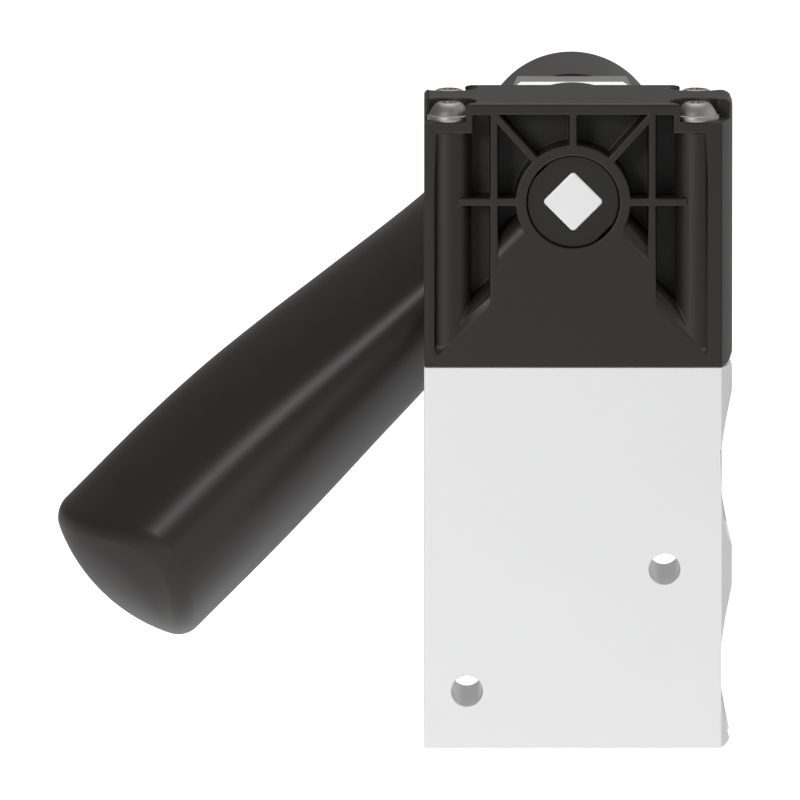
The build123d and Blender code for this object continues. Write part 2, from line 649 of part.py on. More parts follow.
def crank_bush():
    """Bush on the pin that runs in the fork's slot."""
    x, z = polar(CRANK_RADIUS, REST_ANGLE)
    front = WEB_FRONT + PRESS_GAP
    back = WEB_BACK - PRESS_GAP
    bush = rod_y(BUSH_RADIUS, front, back, x, z)
    return bush - rod_y(CRANK_PIN_RADIUS + BUSH_GAP, front - 1, back + 1, x, z)


def ball_centre_y():
    """Depth of the detent ball's centre: it just clears the cavity's wall."""
    return CAVITY_BACK - BALL_GAP - BALL_RADIUS


def detent_ball():
    """Ball that drops into the housing's two dimples."""
    x, z = detent_spot(0)
    return Pos(x, ball_centre_y(), z) * Sphere(BALL_RADIUS)


def detent_spring():
    """Compression spring behind the ball."""
    x, z = detent_spot(0)
    start = CHEEK_FRONT + 1 + SPRING_WIRE
    free = ball_centre_y() - BALL_RADIUS - SPRING_WIRE - start
    coil_radius = BALL_RADIUS - 2 * SPRING_WIRE
    path = Helix(free / SPRING_TURNS, free, coil_radius)
    section = Plane(origin=path @ 0, z_dir=path % 0) * Circle(SPRING_WIRE)
    return Pos(x, start, z) * Rot(-90, 0, 0) * sweep(section, path)


def spool_fork():
    """Foot on the rod and a fork whose slot takes the crank's bush."""
    pin_z = polar(CRANK_RADIUS, REST_ANGLE)[1]
    slot_half = BUSH_RADIUS + SLOT_GAP
    slot_bottom = FORK_BACK + FORK_SPINE
    foot_top = ROD_TOP + FORK_FOOT_HEIGHT
    outline = Polygon(
        (0, ROD_TOP), (0, foot_top), (slot_bottom, foot_top),
        (slot_bottom, pin_z - slot_half - JAW), (FORK_MOUTH, pin_z - slot_half - JAW),
        (FORK_MOUTH, pin_z - slot_half), (slot_bottom, pin_z - slot_half),
        (slot_bottom, pin_z + slot_half), (FORK_MOUTH, pin_z + slot_half),
        (FORK_MOUTH, pin_z + slot_half + JAW), (FORK_BACK, pin_z + slot_half + JAW),
        (FORK_BACK, ROD_TOP),
        align=None,
    )
    half = FORK_THICKNESS / 2
    fork = slab(outline, MID_Y - half, MID_Y + half)
    fork = fork + rod_z(FORK_FOOT_RADIUS, ROD_TOP, foot_top)
    fork = fork - rod_z(ROD_STUD_RADIUS + PRESS_GAP, ROD_TOP - 1, foot_top + 1)
    pin_level = ROD_TOP + FORK_FOOT_HEIGHT / 2
    return fork - rod_y(FORK_PIN_RADIUS + PRESS_GAP, 0, BODY_DEPTH, 0, pin_level)


def fork_pin():
    """Cross pin that holds the fork on the rod."""
    reach = FORK_FOOT_RADIUS - 0.2
    pin_level = ROD_TOP + FORK_FOOT_HEIGHT / 2
    return rod_y(FORK_PIN_RADIUS, MID_Y - reach, MID_Y + reach, 0, pin_level)


def thrust_washer():
    """Flat ring between the housing's boss and the lever's hub."""
    inner = (SHAFT_SIDE / 2) * sqrt(2)
    return ring_y(WASHER_RADIUS, inner, BODY_DEPTH + WASHER_GAP, HUB_FRONT)


def arm_plane(reach, offset):
    """Plane across the arm, its x along the thickness and its y along the shaft."""
    angle = radians(LEVER_ANGLE)
    along = Vector(cos(angle), 0, sin(angle))
    across = Vector(-sin(angle), 0, cos(angle))
    origin = Vector(0, HUB_MID, SHAFT_HEIGHT) + along * reach + across * offset
    return Plane(origin=origin, x_dir=across, z_dir=along)


def arm_loft(wall):
    """Arm body through its elliptical sections, each smaller by the wall."""
    sections = []
    for reach, offset, half in ARM_SECTIONS:
        plane = arm_plane(reach, offset)
        sections.append(plane * Ellipse(half - wall, LEVER_HALF_DEPTH - wall))
    return loft(sections)


def beyond(reach):
    """Big block that holds everything further along the arm than reach."""
    size = 4 * LEVER_HALF_DEPTH
    return arm_plane(reach, 0) * Box(size, size, size, align=(Align.CENTER, Align.CENTER, Align.MIN))


def arm_outside():
    """Arm with its domed end and the rounded rim of the dome."""
    centre = arm_plane(DOME_CENTRE, DOME_OFFSET)
    dome = centre * Sphere(END_DOME_RADIUS)
    arm = arm_loft(0) - (beyond(DOME_CENTRE) - dome)
    rim = arm.edges().sort_by(Axis.X)
    rim = [edge for edge in rim if arm_station(edge.center()) > DOME_CENTRE]
    return fillet(rim, END_ROUND)


def arm_station(point):
    """Distance of a point from the shaft, measured along the arm."""
    angle = radians(LEVER_ANGLE)
    return point.X * cos(angle) + (point.Z - SHAFT_HEIGHT) * sin(angle)


def arm_hollow():
    """Inside of the arm and the channel that joins it to the hub's bore."""
    end = LEVER_REACH - 2 * LEVER_WALL
    centre = arm_plane(DOME_CENTRE, DOME_OFFSET)
    dome = centre * Sphere(END_DOME_RADIUS - LEVER_WALL)
    inside = arm_loft(LEVER_WALL) - beyond(end)
    inside = inside - (beyond(DOME_CENTRE) - dome)
    start = arm_plane(HUB_RADIUS + LEVER_WALL, 0)
    size = 4 * LEVER_HALF_DEPTH
    inside = inside - start * Box(size, size, size, align=(Align.CENTER, Align.CENTER, Align.MAX))
    channel = Box(
        CHANNEL_HEIGHT, CHANNEL_WIDTH, 2 * LEVER_WALL + HUB_RADIUS,
        align=(Align.CENTER, Align.CENTER, Align.MIN),
    )
    shift = HUB_WEB_BACK + LEVER_WALL + CHANNEL_WIDTH / 2 - HUB_MID
    place = arm_plane(HUB_BORE_RADIUS / 2, ARM_SECTIONS[0][1]) * Pos(0, shift * arm_side(), 0)
    return inside + place * channel


def arm_side():
    """Sign of the arm plane's y direction along the shaft."""
    return 1 if arm_plane(0, 0).y_dir.Y > 0 else -1


def label_plan(y_low, y_high, inset):
    """Plan of the label field: a little wider at the front than at the back."""
    back = LABEL_HALF_WIDTH - inset
    front = back + LABEL_SPLAY * (LABEL_BACK - y_low) / (LABEL_BACK - LABEL_FRONT)
    return Polygon((-front, y_low), (front, y_low), (back, y_high), (-back, y_high), align=None)


def lever_handle():
    """Hub with its square socket, bore and label flat, and the hollow arm."""
    hub = rod_y(HUB_RADIUS, HUB_FRONT, HUB_BACK)
    rims = hub.edges().filter_by(GeomType.CIRCLE)
    hub = fillet(rims, HUB_ROUND)
    lever = hub + arm_outside()
    cuts = [rod_y(HUB_BORE_RADIUS, HUB_WEB_BACK, HUB_BACK + CLEAR)]
    cuts.append(arm_hollow())
    cuts.append(square_hole(HUB_FRONT - CLEAR, SHAFT_BACK + 1))
    cuts.append(rod_y(LEVER_SCREW_RADIUS + SCREW_HOLE_GAP, SHAFT_BACK, HUB_WEB_BACK + 1))
    flat = SHAFT_HEIGHT + LABEL_FLAT
    cuts.append(
        block(-HUB_RADIUS, HUB_RADIUS, LABEL_FRONT, LABEL_BACK, flat, flat + HUB_RADIUS)
    )
    return lever - cuts


def label_holder():
    """Carrier that sits on the hub's flat, with a shallow seat for the label."""
    low = SHAFT_HEIGHT + LABEL_FLAT
    height = LABEL_TOP - LABEL_FLAT
    front = LABEL_FRONT + PRESS_GAP
    back = LABEL_BACK - PRESS_GAP
    holder = extrude(Pos(0, 0, low) * label_plan(front, back, 0), height)
    return holder - plate_block(CLEAR)


def plate_block(height):
    """The label plate's place in the holder, with a given height."""
    low = SHAFT_HEIGHT + LABEL_TOP - PLATE_HEIGHT
    front = LABEL_FRONT + PRESS_GAP
    return extrude(Pos(0, 0, low) * label_plan(front, front + PLATE_DEPTH, PLATE_INSET), height)


def position_label():
    """Blank plate in the holder."""
    return plate_block(PLATE_HEIGHT)


def lever_washer():
    """Washer under the lever screw's head."""
    inner = LEVER_SCREW_RADIUS + SCREW_HOLE_GAP
    back = HUB_WEB_BACK + LEVER_WASHER_THICKNESS
    return ring_y(LEVER_WASHER_RADIUS, inner, HUB_WEB_BACK, back)


def lever_screw():
    """Socket head screw that clamps the lever to the shaft."""
    seat = HUB_WEB_BACK + LEVER_WASHER_THICKNESS
    head_back = seat + LEVER_SCREW_HEAD_HEIGHT
    shank = rod_y(LEVER_SCREW_RADIUS, SHAFT_BACK - LEVER_SCREW_ENGAGE, seat)
    head = rod_y(LEVER_SCREW_HEAD_RADIUS, seat, head_back)
    socket = slab(on_axis(RegularPolygon(LEVER_SCREW_SOCKET, 6)), (seat + head_back) / 2, head_back + 1)
    return shank + head - socket


def hub_cap():
    """Cap pressed into the hub's open end."""
    outer = HUB_BORE_RADIUS - PRESS_GAP
    cap = rod_y(outer, HUB_BACK - CAP_THICKNESS, HUB_BACK - 0.1)
    lip_front = HUB_BACK - CAP_THICKNESS - CAP_LIP
    return cap + ring_y(outer, outer - CAP_WALL, lip_front, HUB_BACK - CAP_THICKNESS)


def nodes():
    """Every sub-part by name; a list is a group of like pieces."""
    return {
        "valve_body": valve_body(),
        "actuator_housing": actuator_housing(),
        "housing_gasket": gasket_ring(GASKET_HEIGHT, BODY_TOP - GASKET_HEIGHT),
        "housing_screws": [housing_screw(x, y) for x, y in SCREW_SPOTS],
        "rod_guide": rod_guide(),
        "rod_wiper": rod_wiper(),
        "end_plug": end_plug(),
        "end_plug_seal": end_plug_seal(),
        "spool": spool(),
        "spool_seals": spool_seals(),
        "spool_fork": spool_fork(),
        "fork_pin": fork_pin(),
        "lever_shaft": lever_shaft(),
        "near_rotor_disc": rotor_disc(near_span()),
        "far_rotor_disc": rotor_disc(far_span()),
        "rotor_disc_seals": rotor_disc_seals(),
        "drive_crank": drive_crank(),
        "crank_pin": crank_pin(),
        "crank_bush": crank_bush(),
        "detent_ball": detent_ball(),
        "detent_spring": detent_spring(),
        "thrust_washer": thrust_washer(),
        "lever_handle": lever_handle(),
        "lever_washer": lever_washer(),
        "lever_screw": lever_screw(),
        "hub_cap": hub_cap(),
        "label_holder": label_holder(),
        "position_label": position_label(),
    }


os.makedirs("parts", exist_ok=True)
for name, shape in nodes().items():
    solids = shape if isinstance(shape, list) else [shape]
    export_step(Compound(children=solids) if len(solids) > 1 else solids[0], f"parts/{name}.step")
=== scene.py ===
from math import cos, hypot, radians, sin, sqrt, tau

import bmesh
import bpy
from mathutils import Matrix, Vector


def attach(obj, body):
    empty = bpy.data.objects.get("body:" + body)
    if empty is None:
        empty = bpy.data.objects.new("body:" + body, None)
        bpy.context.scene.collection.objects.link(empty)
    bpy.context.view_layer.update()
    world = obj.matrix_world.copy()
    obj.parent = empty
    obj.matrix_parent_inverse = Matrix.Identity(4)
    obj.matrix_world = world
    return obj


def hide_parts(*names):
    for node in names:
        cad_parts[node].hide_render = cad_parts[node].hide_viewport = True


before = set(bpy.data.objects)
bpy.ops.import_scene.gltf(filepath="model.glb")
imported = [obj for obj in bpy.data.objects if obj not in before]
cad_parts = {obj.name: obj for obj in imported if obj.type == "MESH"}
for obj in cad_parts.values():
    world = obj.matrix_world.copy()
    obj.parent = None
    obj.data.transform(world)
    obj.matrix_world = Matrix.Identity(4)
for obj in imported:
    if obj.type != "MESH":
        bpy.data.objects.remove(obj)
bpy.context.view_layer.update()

# Valve body
# Milled block of aluminium with a pale satin coat: flat faces, a gently crowned port side with
# two spot faces, threaded ports, two bare mounting bores, and a small break filed on its edges.
MM = 0.001
SAME_POINT = 1e-6
SHARP_ABOVE = 35
FLAT_BELOW = 0.4
BODY_GREY = (0.735, 0.735, 0.74)
BODY_BREAK = 0.22 * MM
PORT_LEVEL = 17 * MM
PORT_SIDE_X = 25.6 * MM
MID_DEPTH = 13 * MM
SPOT_RADIUS = 13.8 * MM
PORT_MOUTH_RADIUS = 7.2 * MM
MOUNT_BORES = ((15.8 * MM, 0.9 * MM), (-18.2 * MM, -20.3 * MM))
MOUNT_RADIUS = 2.7 * MM
PORT_REACH = 13 * MM
ON_SIDE = 0.1 * MM
ON_RIM = 0.05 * MM
ON_BORE = 0.02 * MM
ON_FACE = 0.01 * MM
THREAD_MINOR = 5.70 * MM
THREAD_MAJOR = 6.58 * MM
THREAD_PITCH = 1.337 * MM
THREAD_TURNS = 8
THREAD_STEPS = 40
THREAD_START = 1.5 * MM
THREAD_TRIM = 0.02


def ease(work, width, segments=2, above=28, skip=None):
    """Round over the sharp edges of a bmesh."""
    work.normal_update()
    sharp = [
        edge for edge in work.edges
        if len(edge.link_faces) == 2 and edge.calc_face_angle() > radians(above)
        and not (skip and skip(edge))
    ]
    bmesh.ops.bevel(
        work, geom=sharp, offset=width, offset_type="OFFSET", segments=segments, profile=0.5,
        affect="EDGES", clamp_overlap=False, material=-1,
    )


def finished(work, name):
    """Turn a bmesh into an object at the origin, smooth, with its flat faces kept flat."""
    mesh = bpy.data.meshes.new(name)
    work.to_mesh(mesh)
    work.free()
    mesh.materials.clear()
    mesh.shade_smooth()
    mesh.set_sharp_from_angle(angle=radians(SHARP_ABOVE))
    piece = bpy.data.objects.new(name, mesh)
    bpy.context.scene.collection.objects.link(piece)
    weighted = piece.modifiers.new("face normals", "WEIGHTED_NORMAL")
    weighted.keep_sharp = True
    return piece


def eased_copy(node, name, width, segments=2, skip=None):
    """Copy of a CAD solid: triangles joined to whole faces, and its sharp edges rounded over."""
    work = bmesh.new()
    work.from_mesh(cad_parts[node].data)
    bmesh.ops.remove_doubles(work, verts=work.verts, dist=SAME_POINT)
    bmesh.ops.dissolve_limit(work, angle_limit=radians(FLAT_BELOW), verts=work.verts, edges=work.edges)
    ease(work, width, segments, skip=skip)
    return finished(work, name)


def fitted(piece, body, slot, *nodes):
    """Hide the CAD solids that a new piece stands for and hang the piece on its body; slot is not used."""
    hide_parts(*nodes)
    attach(piece, body)


def stand(work, start, direction):
    """Turn what was made along Z to point along direction from start."""
    turn = Vector((0, 0, 1)).rotation_difference(Vector(direction)).to_matrix().to_4x4()
    bmesh.ops.transform(work, matrix=Matrix.Translation(start) @ turn, verts=work.verts)


def carve(piece, work, operation="DIFFERENCE"):
    """Cut a bmesh out of a piece, or join it on, and keep the result as the piece's mesh."""
    mesh = bpy.data.meshes.new("tool")
    work.to_mesh(mesh)
    work.free()
    tool = bpy.data.objects.new("tool", mesh)
    bpy.context.scene.collection.objects.link(tool)
    boolean = piece.modifiers.new("carve", "BOOLEAN")
    boolean.object = tool
    boolean.operation = operation
    boolean.solver = "EXACT"
    others = [modifier for modifier in piece.modifiers if modifier != boolean]
    for modifier in others:
        modifier.show_viewport = False
    graph = bpy.context.evaluated_depsgraph_get()
    carved = bpy.data.meshes.new_from_object(piece.evaluated_get(graph))
    carved.set_sharp_from_angle(angle=radians(SHARP_ABOVE))
    for modifier in others:
        modifier.show_viewport = True
    piece.modifiers.remove(boolean)
    piece.data = carved
    bpy.data.objects.remove(tool)


def shader(name, roughness, metallic=0.0, specular=0.5):
    """New material: itself, its node tree, its main shader and the object's coordinates."""
    material = bpy.data.materials.new(name)
    material.use_nodes = True
    tree = material.node_tree
    main = tree.nodes["Principled BSDF"]
    main.inputs["Roughness"].default_value = roughness
    main.inputs["Metallic"].default_value = metallic
    main.inputs["Specular IOR Level"].default_value = specular
    place = tree.nodes.new("ShaderNodeTexCoord").outputs["Object"]
    return material, tree, main, place


def noise(tree, place, scale, detail=3.0):
    """Noise on a coordinate, its scale in waves per metre."""
    node = tree.nodes.new("ShaderNodeTexNoise")
    node.inputs["Scale"].default_value = scale
    node.inputs["Detail"].default_value = detail
    tree.links.new(place, node.inputs["Vector"])
    return node.outputs["Fac"]


def spread(tree, value, low, high, start=0.0, end=1.0):
    """Map a value that runs from start to end onto low to high."""
    node = tree.nodes.new("ShaderNodeMapRange")
    node.inputs["From Min"].default_value = start
    node.inputs["From Max"].default_value = end
    node.inputs["To Min"].default_value = low
    node.inputs["To Max"].default_value = high
    tree.links.new(value, node.inputs["Value"])
    return node.outputs["Result"]


def tint(tree, value, dark, light):
    """Colour between dark and light, by a value that runs from 0 to 1."""
    node = tree.nodes.new("ShaderNodeMix")
    node.data_type = "RGBA"
    node.inputs["A"].default_value = (*dark, 1)
    node.inputs["B"].default_value = (*light, 1)
    tree.links.new(value, node.inputs["Factor"])
    return node.outputs["Result"]


def relief(tree, main, height, distance):
    """Bump the surface by a height, distance in metres."""
    node = tree.nodes.new("ShaderNodeBump")
    node.inputs["Distance"].default_value = distance
    tree.links.new(height, node.inputs["Height"])
    tree.links.new(node.outputs["Normal"], main.inputs["Normal"])


def stretched(tree, place, scale):
    """Coordinate with its own scale on each axis, for marks that run one way."""
    node = tree.nodes.new("ShaderNodeMapping")
    node.inputs["Scale"].default_value = scale
    tree.links.new(place, node.inputs["Vector"])
    return node.outputs["Vector"]


def painted_aluminium(name, grey):
    """Light grey satin coat: very fine orange peel and a faint change of tone."""
    material, tree, main, place = shader(name, 0.42, metallic=0.2)
    cloud = noise(tree, place, 90, 2)
    lighter = tuple(min(1, c * 1.02) for c in grey)
    tree.links.new(tint(tree, cloud, grey, lighter), main.inputs["Base Color"])
    peel = noise(tree, place, 2600, 2)
    tree.links.new(spread(tree, peel, 0.37, 0.47), main.inputs["Roughness"])
    relief(tree, main, peel, 0.012 * MM)
    return material


def bare_metal(name, colour, roughness, scale, metallic=1.0):
    """Uncoated metal with fine tool marks, longest along the axis with the smallest scale."""
    material, tree, main, place = shader(name, roughness, metallic=metallic)
    marks = noise(tree, stretched(tree, place, scale), 1.0, 3)
    darker = tuple(c * 0.86 for c in colour)
    tree.links.new(tint(tree, marks, darker, colour), main.inputs["Base Color"])
    tree.links.new(spread(tree, marks, roughness - 0.06, roughness + 0.08), main.inputs["Roughness"])
    relief(tree, main, marks, 0.01 * MM)
    return material


def turned_face(name):
    """Coated metal with the fine rings that a rotary cutter leaves round each port."""
    material, tree, main, place = shader(name, 0.36, metallic=0.35)
    parts = tree.nodes.new("ShaderNodeSeparateXYZ")
    tree.links.new(place, parts.inputs["Vector"])
    level = tree.nodes.new("ShaderNodeMath")
    level.operation = "ABSOLUTE"
    tree.links.new(parts.outputs["Z"], level.inputs[0])
    centred = tree.nodes.new("ShaderNodeCombineXYZ")
    for axis, value, shift in (("Y", parts.outputs["Y"], MID_DEPTH), ("Z", level.outputs[0], PORT_LEVEL)):
        moved = tree.nodes.new("ShaderNodeMath")
        moved.operation = "SUBTRACT"
        moved.inputs[1].default_value = shift
        tree.links.new(value, moved.inputs[0])
        tree.links.new(moved.outputs[0], centred.inputs[axis])
    rings = tree.nodes.new("ShaderNodeTexWave")
    rings.wave_type = "RINGS"
    rings.rings_direction = "X"
    rings.inputs["Scale"].default_value = 900
    rings.inputs["Distortion"].default_value = 0.6
    tree.links.new(centred.outputs["Vector"], rings.inputs["Vector"])
    darker = tuple(c * 0.9 for c in BODY_GREY)
    tree.links.new(tint(tree, rings.outputs["Fac"], darker, BODY_GREY), main.inputs["Base Color"])
    relief(tree, main, rings.outputs["Fac"], 0.02 * MM)
    return material


def port_thread():
    """Cutter for a G1/4 thread along Z: its flank spun into a helix, cut square and closed."""
    work = bmesh.new()
    flank = (
        (THREAD_MINOR, 0), (THREAD_MINOR, 0.16), (THREAD_MAJOR, 0.46),
        (THREAD_MAJOR, 0.58), (THREAD_MINOR, 0.88), (THREAD_MINOR, 1),
    )
    points = [work.verts.new((radius, 0, share * THREAD_PITCH)) for radius, share in flank]
    edges = [work.edges.new(pair) for pair in zip(points, points[1:])]
    bmesh.ops.spin(
        work, geom=points + edges, axis=(0, 0, 1), cent=(0, 0, 0), angle=tau * THREAD_TURNS,
        dvec=(0, 0, THREAD_PITCH / THREAD_STEPS), steps=THREAD_STEPS * THREAD_TURNS,
        use_merge=False, use_duplicate=False,
    )
    bmesh.ops.remove_doubles(work, verts=work.verts, dist=SAME_POINT)
    for turn, side in ((1 + THREAD_TRIM, 1), (THREAD_TURNS - THREAD_TRIM, -1)):
        bmesh.ops.bisect_plane(
            work, geom=work.verts[:] + work.edges[:] + work.faces[:],
            plane_co=(0, 0, turn * THREAD_PITCH), plane_no=(0, 0, side), clear_inner=True,
        )
    bmesh.ops.holes_fill(work, edges=[edge for edge in work.edges if edge.is_boundary], sides=0)
    bmesh.ops.recalc_face_normals(work, faces=work.faces)
    return work


def from_port(point):
    """Distance of a point from the axis of the nearest port on its side of the body."""
    level = abs(point.z) - PORT_LEVEL if point.x > 0 else point.z
    return hypot(point.y - MID_DEPTH, level)


def on_spot_rim(edge):
    """True for the rim of a spot face, which fades to nothing at the body's corner edges."""
    return all(
        vert.co.x > PORT_SIDE_X - ON_SIDE and abs(from_port(vert.co) - SPOT_RADIUS) < ON_RIM
        for vert in edge.verts
    )


body = eased_copy("valve_body", "machined_body", BODY_BREAK, skip=on_spot_rim)
for side, height in ((1, PORT_LEVEL), (1, -PORT_LEVEL), (-1, 0)):
    thread = port_thread()
    stand(thread, (side * (PORT_SIDE_X + THREAD_START), MID_DEPTH, height), (-side, 0, 0))
    carve(body, thread)
body.data.materials.append(painted_aluminium("body coat", BODY_GREY))
bored = bare_metal("mounting bore", (0.95, 0.95, 0.955), 0.12, (4000, 900, 4000), 0.9)
body.data.materials.append(bored)
body.data.materials.append(turned_face("port face"))
for face in body.data.polygons:
    middle = face.center
    in_bore = any(hypot(middle.x - x, middle.z - z) < MOUNT_RADIUS + ON_BORE for x, z in MOUNT_BORES)
    if in_bore and abs(face.normal.y) < 0.5:
        face.material_index = 1
    elif abs(middle.x) > PORT_SIDE_X - PORT_REACH and from_port(middle) < PORT_MOUTH_RADIUS:
        face.material_index = 2
    elif abs(middle.x - PORT_SIDE_X) < ON_FACE and from_port(middle) < SPOT_RADIUS:
        face.material_index = 2
fitted(body, "root", "body_aluminium", "valve_body")

# Parts pressed into the body
# A turned aluminium plug closes the spool bore at the bottom, and a bronze bush guides the rod at
# the top. Both are sealed with black nitrile rings, and a moulded ring lies under the housing.


def rubber(name):
    """Black nitrile: matt, with a faint bloom."""
    material, tree, main, place = shader(name, 0.62, specular=0.3)
    bloom = noise(tree, place, 400, 3)
    tree.links.new(tint(tree, bloom, (0.011, 0.011, 0.011), (0.022, 0.022, 0.023)), main.inputs["Base Color"])
    tree.links.new(spread(tree, bloom, 0.55, 0.72), main.inputs["Roughness"])
    relief(tree, main, noise(tree, place, 4000, 2), 0.015 * MM)
    return material


def dress(material, *nodes):
    """Give CAD pieces whose shape is right their material."""
    for node in nodes:
        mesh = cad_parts[node].data
        mesh.materials.clear()
        mesh.materials.append(material)


nitrile = rubber("black nitrile")
bronze = bare_metal("sintered bronze", (0.52, 0.33, 0.17), 0.38, (2500, 2500, 700))
dress(nitrile, "end_plug_seal", "housing_gasket", "rod_wiper")
dress(bronze, "rod_guide")
plug = eased_copy("end_plug", "turned_end_plug", 0.12 * MM)
plug.data.materials.append(bare_metal("turned aluminium", (0.72, 0.72, 0.73), 0.3, (1800, 1800, 500)))
fitted(plug, "root", "plug_aluminium", "end_plug")

# Spool
# Ground steel spool with a seal in each land. A steel fork is pinned to its rod and takes the
# crank's bush.
ground_steel = bare_metal("ground steel", (0.56, 0.56, 0.57), 0.24, (3000, 3000, 300))
dress(ground_steel, "spool", "spool_fork", "fork_pin")
dress(nitrile, "spool_seals")

# Actuator housing
# One injection moulding in black glass-filled plastic, with ribs round the shaft boss, screw
# columns in the corners and small radii where the tool was eased.
HOUSING_BLACK = (0.0110, 0.0094, 0.0080)
HOUSING_EASE = 0.28 * MM
HOUSING_DEPTH = 26 * MM
RECESS_REACH = 24.3 * MM
RECESS_TOE = (37.3 * MM, 41.6 * MM)
CORE_EDGE = 10 * MM
SHALLOW = 0.9 * MM
RUN_OUT = (0.003 * MM, 0.35 * MM)
SHORT_EDGE = 2 * MM
TINY_EDGE = 0.35 * MM
IN_LINE = 0.8


def moulded_plastic(name, colour, roughness, grain, specular=0.35):
    """Black moulded plastic: fine spark-eroded grain, a little uneven in gloss."""
    material, tree, main, place = shader(name, roughness, specular=specular)
    cloud = noise(tree, place, 120, 2)
    lighter = tuple(c * 1.18 for c in colour)
    tree.links.new(tint(tree, cloud, colour, lighter), main.inputs["Base Color"])
    skin = noise(tree, place, 5200, 2)
    tree.links.new(spread(tree, skin, roughness - 0.05, roughness + 0.05), main.inputs["Roughness"])
    relief(tree, main, skin, grain)
    return material


housing_plastic = moulded_plastic("housing plastic", HOUSING_BLACK, 0.45, 0.02 * MM, 0.42)


def runs_out(edge):
    """True where the recess runs out to nothing at the front or back, and no edge is left."""
    depths = [min(vert.co.y, HOUSING_DEPTH - vert.co.y) for vert in edge.verts]
    inside = max(abs(vert.co.x) for vert in edge.verts) < RECESS_REACH
    shallow = inside and max(depths) < SHALLOW and any(RUN_OUT[0] < depth < RUN_OUT[1] for depth in depths)
    at_toe = any(
        RECESS_TOE[0] < vert.co.z < RECESS_TOE[1] and CORE_EDGE < abs(vert.co.x) < RECESS_REACH
        and depth < SHALLOW for vert, depth in zip(edge.verts, depths)
    )
    return shallow or at_toe or crowded(edge)


def crowded(edge):
    """True for a short edge with a still shorter one across its end."""
    line = (edge.verts[1].co - edge.verts[0].co).normalized()
    if edge.calc_length() > SHORT_EDGE:
        return False
    for vert in edge.verts:
        for other in vert.link_edges:
            run = other.other_vert(vert).co - vert.co
            if other != edge and run.length < TINY_EDGE and abs(run.normalized().dot(line)) < IN_LINE:
                return True
    return False


housing = eased_copy("actuator_housing", "moulded_housing", HOUSING_EASE, 3, skip=runs_out)
housing.data.materials.append(housing_plastic)
fitted(housing, "root", "housing_plastic", "actuator_housing")

# Housing screws
# Four black steel screws with a flange, a domed head and a six-lobe socket. They hold the housing
# down on the body.
SCREW_SPOTS = [(x * MM, y * MM) for x in (-21.3, 21.3) for y in (3.85, 22.15)]
SCREW_SEAT = 78.4 * MM
HEAD_TOP = 3.05
SCREW_OUTLINE = (
    (0, HEAD_TOP), (1.75, HEAD_TOP), (2.05, 2.97), (2.4, 2.72), (2.73, 2.33), (3.0, 1.95), (3.2, 1.6),
    (3.38, 1.2), (3.48, 0.95), (3.8, 0.85), (3.8, 0), (1.5, 0), (1.5, -50), (0, -50),
)
HEAD_BREAK = 0.08 * MM
SOCKET_RADIUS = 1.32 * MM
SOCKET_LOBES = 6
SOCKET_LOBE = 0.13
SOCKET_DEPTH = 1.5 * MM


def turned(outline, steps):
    """Spin an outline of (radius, height) in millimetres round Z into a closed skin."""
    work = bmesh.new()
    points = [work.verts.new((radius * MM, 0, height * MM)) for radius, height in outline]
    edges = [work.edges.new(pair) for pair in zip(points, points[1:])]
    bmesh.ops.spin(
        work, geom=points + edges, axis=(0, 0, 1), cent=(0, 0, 0), angle=tau, steps=steps,
        use_merge=True, use_duplicate=False,
    )
    bmesh.ops.remove_doubles(work, verts=work.verts, dist=SAME_POINT)
    bmesh.ops.recalc_face_normals(work, faces=work.faces)
    return work


def lobed_socket(top):
    """Cutter for the six-lobe socket under the top of a head."""
    work = bmesh.new()
    bmesh.ops.create_circle(work, cap_ends=True, segments=72, radius=SOCKET_RADIUS)
    for vert in work.verts:
        angle = Vector((1, 0)).angle_signed(vert.co.xy)
        vert.co *= 1 + SOCKET_LOBE * cos(SOCKET_LOBES * angle)
    bmesh.ops.translate(work, verts=work.verts, vec=(0, 0, top - SOCKET_DEPTH))
    raised = bmesh.ops.extrude_face_region(work, geom=work.faces[:])["geom"]
    lid = [part for part in raised if isinstance(part, bmesh.types.BMVert)]
    bmesh.ops.translate(work, verts=lid, vec=(0, 0, 2 * SOCKET_DEPTH))
    bmesh.ops.recalc_face_normals(work, faces=work.faces)
    return work


head = turned(SCREW_OUTLINE, 64)
ease(head, HEAD_BREAK, above=40)
screws = finished(head, "flanged_screws")
carve(screws, lobed_socket(HEAD_TOP * MM))
row = bmesh.new()
for x, y in SCREW_SPOTS:
    before = set(row.verts)
    row.from_mesh(screws.data)
    fresh = [vert for vert in row.verts if vert not in before]
    bmesh.ops.translate(row, verts=fresh, vec=(x, y, SCREW_SEAT))
row.to_mesh(screws.data)
row.free()
screws.data.materials.append(bare_metal("blackened steel", (0.40, 0.37, 0.355), 0.47, (900, 900, 900)))
fitted(screws, "root", "screw_steel", "housing_screws")

# Shaft and its two bearing discs
# Square aluminium bar, sawn and faced at its front end, which turns in two black discs. Each disc
# has two small flats on its rim and a dust ring.
bar = eased_copy("lever_shaft", "square_shaft", 0.3 * MM)
bar.data.materials.append(painted_aluminium("faced aluminium", (0.75, 0.75, 0.75)))
fitted(bar, "lever", "shaft_aluminium", "lever_shaft")
disc_plastic = moulded_plastic("disc plastic", (0.0098, 0.0088, 0.0080), 0.47, 0.012 * MM)
for node in ("near_rotor_disc", "far_rotor_disc"):
    disc = eased_copy(node, node.replace("rotor", "bearing"), 0.2 * MM)
    disc.data.materials.append(disc_plastic)
    fitted(disc, "lever", "disc_plastic", node)
dress(disc_plastic, "thrust_washer")
dress(nitrile, "rotor_disc_seals")

